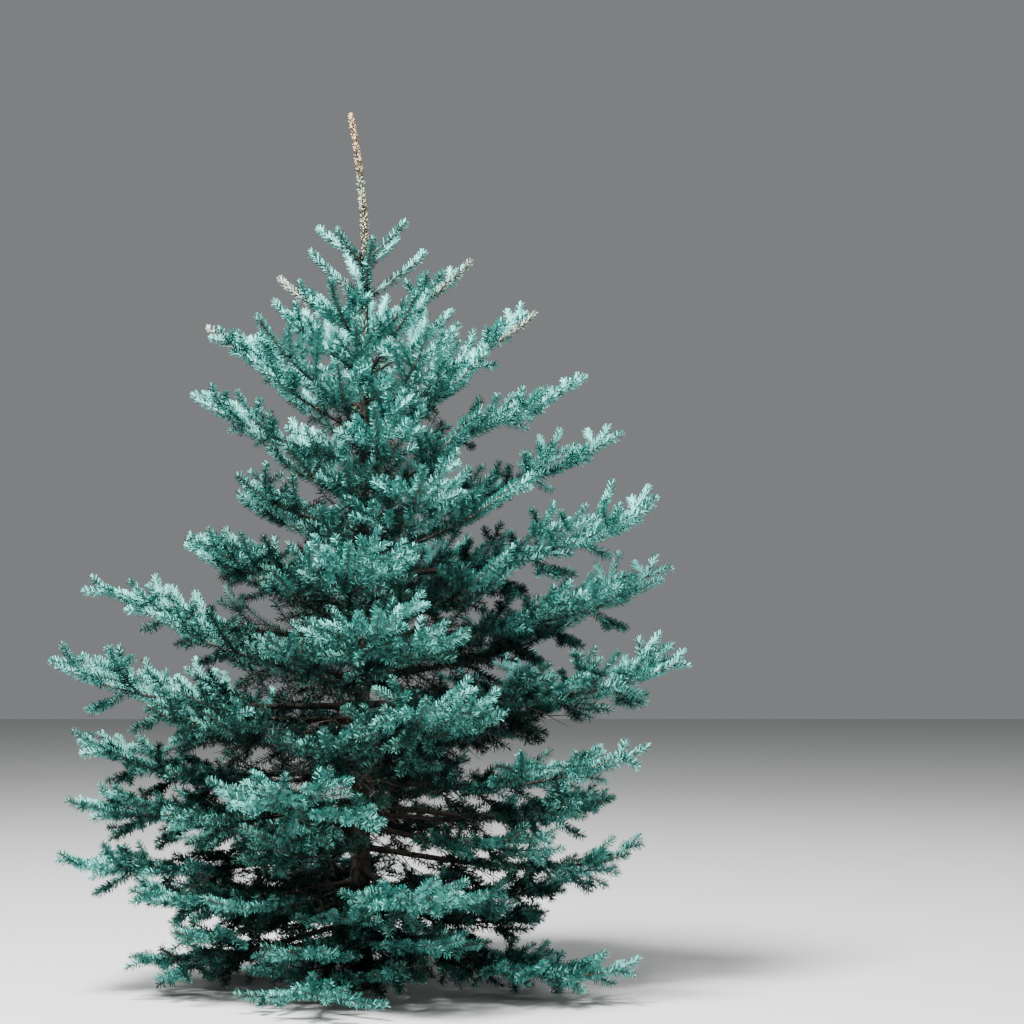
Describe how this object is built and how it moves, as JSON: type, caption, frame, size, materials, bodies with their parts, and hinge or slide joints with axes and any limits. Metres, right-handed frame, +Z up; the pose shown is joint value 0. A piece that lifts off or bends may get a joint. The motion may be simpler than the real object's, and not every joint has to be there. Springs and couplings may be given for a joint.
{
  "type": "blue spruce tree",
  "caption": "Young spruce with a straight tapering trunk, a tall leader and tiers of upturned boughs clad in blue-green needle sprays down to the ground.",
  "frame": {"origin": "middle of the trunk's flat cut at ground level", "axes": "+Z up along the trunk, +X to the right of the tree and -Y to its front, as the picture shows it"},
  "size_m": [2.4345, 2.3724, 3.5016],
  "materials": {
    "bark": "rough scaly bark",
    "needles": "waxy blue-green needles with a pale bloom"
  },
  "bodies": {
    "root": {"bough_tier_09_back": "bark", "bough_tier_09_front": "bark", "bough_tier_09_front_right": "bark", "bough_tier_09_left": "bark", "bough_tier_10_back": "bark", "bough_tier_10_front": "bark", "bough_tier_10_left": "bark", "bough_tier_10_right": "bark", "bough_tier_11_back": "bark", "bough_tier_11_front": "bark", "bough_tier_11_front_right": "bark", "bough_tier_11_left": "bark", "foliage_tier_01_back_right": "needles", "foliage_tier_01_front_left": "needles", "foliage_tier_01_front_right": "needles", "foliage_tier_01_left": "needles", "foliage_tier_02_back": "needles", "foliage_tier_02_front": "needles", "foliage_tier_02_left": "needles", "foliage_tier_02_right": "needles", "foliage_tier_03_back": "needles", "foliage_tier_03_front_left": "needles", "foliage_tier_03_front_right": "needles", "foliage_tier_03_left": "needles", "foliage_tier_03_right": "needles", "foliage_tier_04_back": "needles", "foliage_tier_04_front": "needles", "foliage_tier_04_left": "needles", "foliage_tier_04_right": "needles", "foliage_tier_05_back_left": "needles", "foliage_tier_05_front": "needles", "foliage_tier_05_front_left": "needles", "foliage_tier_05_right": "needles", "foliage_tier_06_back": "needles", "foliage_tier_06_front": "needles", "foliage_tier_06_front_left": "needles", "foliage_tier_06_left": "needles", "foliage_tier_06_right": "needles", "foliage_tier_07_back": "needles", "foliage_tier_07_front": "needles", "foliage_tier_07_left": "needles", "foliage_tier_07_right": "needles", "foliage_tier_08_back_left": "needles", "foliage_tier_08_back_right": "needles", "foliage_tier_08_front": "needles", "foliage_tier_08_left": "needles", "foliage_tier_08_right": "needles", "foliage_tier_09_back": "needles", "foliage_tier_09_front": "needles", "foliage_tier_09_front_right": "needles", "foliage_tier_09_left": "needles", "foliage_tier_10_back": "needles", "foliage_tier_10_front": "needles", "foliage_tier_10_left": "needles", "foliage_tier_10_right": "needles", "foliage_tier_11_back": "needles", "foliage_tier_11_front": "needles", "foliage_tier_11_front_right": "needles", "foliage_tier_11_left": "needles", "trunk": "bark"}
  },
  "joints": []
}
